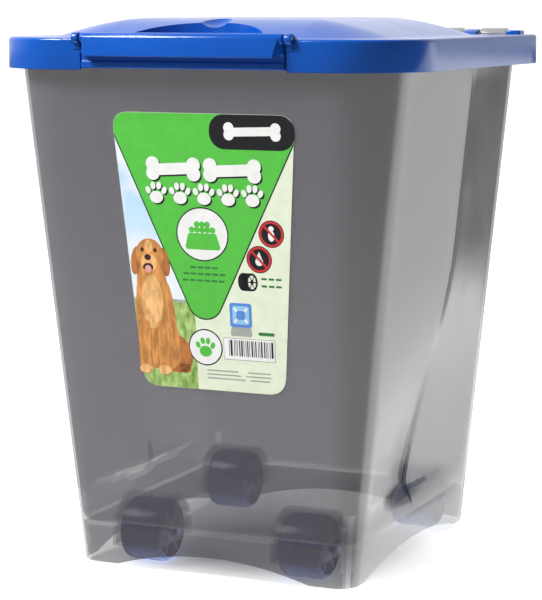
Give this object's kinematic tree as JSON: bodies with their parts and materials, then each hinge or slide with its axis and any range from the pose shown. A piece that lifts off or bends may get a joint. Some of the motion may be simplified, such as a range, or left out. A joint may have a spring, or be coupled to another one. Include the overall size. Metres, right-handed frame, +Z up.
{
  "type": "pet food bin",
  "caption": "Tapered smoke-clear storage bin on rollers, with a domed blue hinged lid, an inner gasket and a wide front flap latch.",
  "frame": {"origin": "centre of the bin's box in plan, on the surface that the rollers stand on", "axes": "+Z up, +Y from the latch towards the hinge, +X to the right seen from the front"},
  "size_m": [0.346, 0.3362, 0.43],
  "materials": {
    "smoke_plastic": "smoke-tinted translucent, glossy",
    "blue_plastic": "satin gloss moulded",
    "gasket": "soft matte",
    "roller_plastic": "satin moulded",
    "pin_steel": "drawn wire",
    "label_paper": "printed film label"
  },
  "bodies": {
    "tub": {"tub": "smoke_plastic", "front_label": "label_paper", "hinge_pin_1": "pin_steel", "hinge_pin_2": "pin_steel", "hinge_pin_3": "pin_steel", "hinge_pin_4": "pin_steel", "axle_front_left": "roller_plastic", "axle_front_right": "roller_plastic", "axle_rear_left": "roller_plastic", "axle_rear_right": "roller_plastic"},
    "lid": {"lid": "blue_plastic", "lid_seal": "gasket", "latch_pin_left": "pin_steel", "latch_pin_right": "pin_steel"},
    "latch": {"latch": "blue_plastic"},
    "roller_front_left": {"wheel_front_left": "roller_plastic"},
    "roller_front_right": {"wheel_front_right": "roller_plastic"},
    "roller_rear_left": {"wheel_rear_left": "roller_plastic"},
    "roller_rear_right": {"wheel_rear_right": "roller_plastic"}
  },
  "joints": [
    {"name": "lid_hinge", "type": "hinge", "parent": "tub", "child": "lid", "pos_m": [0, 0.161, 0.4136], "axis": [-1, 0, 0], "range_deg": [0, 110]},
    {"name": "latch_hinge", "type": "hinge", "parent": "lid", "child": "latch", "pos_m": [0, -0.1597, 0.4156], "axis": [-1, 0, 0], "range_deg": [0, 95]},
    {"name": "front_left_roll", "type": "hinge", "parent": "tub", "child": "roller_front_left", "pos_m": [-0.068, -0.0774, 0.025], "axis": [1, 0, 0], "continuous": true},
    {"name": "front_right_roll", "type": "hinge", "parent": "tub", "child": "roller_front_right", "pos_m": [0.068, -0.0774, 0.025], "axis": [1, 0, 0], "continuous": true},
    {"name": "rear_left_roll", "type": "hinge", "parent": "tub", "child": "roller_rear_left", "pos_m": [-0.086, 0.1174, 0.025], "axis": [1, 0, 0], "continuous": true},
    {"name": "rear_right_roll", "type": "hinge", "parent": "tub", "child": "roller_rear_right", "pos_m": [0.086, 0.1174, 0.025], "axis": [1, 0, 0], "continuous": true}
  ]
}
